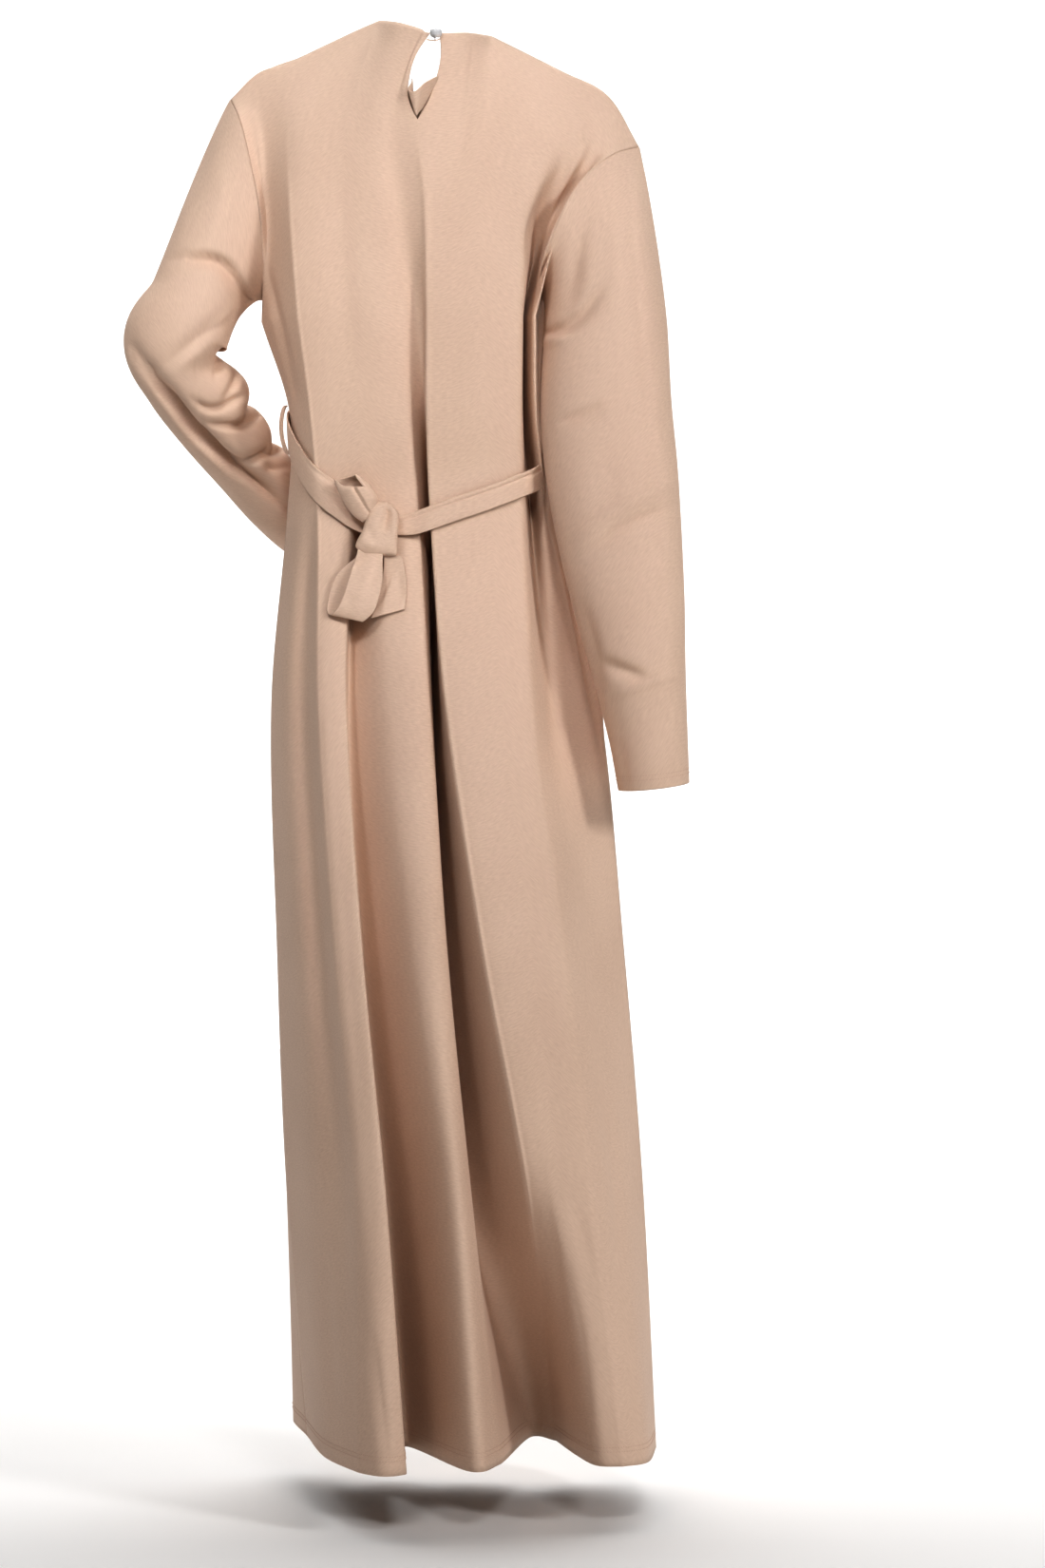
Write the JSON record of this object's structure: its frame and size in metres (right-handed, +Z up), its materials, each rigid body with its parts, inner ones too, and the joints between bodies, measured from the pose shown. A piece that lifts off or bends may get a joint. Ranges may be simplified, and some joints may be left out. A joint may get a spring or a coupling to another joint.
{
  "type": "abaya",
  "caption": "Full-length abaya with long sleeves, keyhole back and tie belt, as worn: hollow cloth with one arm bent at the hip and the skirt falling in deep folds.",
  "frame": {"origin": "centre of the neck opening, level with the shoulders, where the wearer's neck and shoulders hold the garment", "axes": "+Z up, the garment's front faces -Y, +X is the wearer's left"},
  "size_m": [0.5776, 0.4412, 1.4741],
  "materials": {
    "crepe": "matt, finely woven crepe",
    "button_metal": "polished",
    "elastic": "matt"
  },
  "bodies": {
    "root": {"back": "crepe", "front": "crepe", "sleeve_left": "crepe", "sleeve_right": "crepe", "belt": "crepe", "belt_knot": "crepe", "bow_loop_upper": "crepe", "bow_loop_lower": "crepe", "belt_tail": "crepe", "carrier_left": "crepe", "carrier_right": "crepe", "keyhole_facing": "crepe", "button": "button_metal", "button_loop": "elastic"}
  },
  "joints": []
}
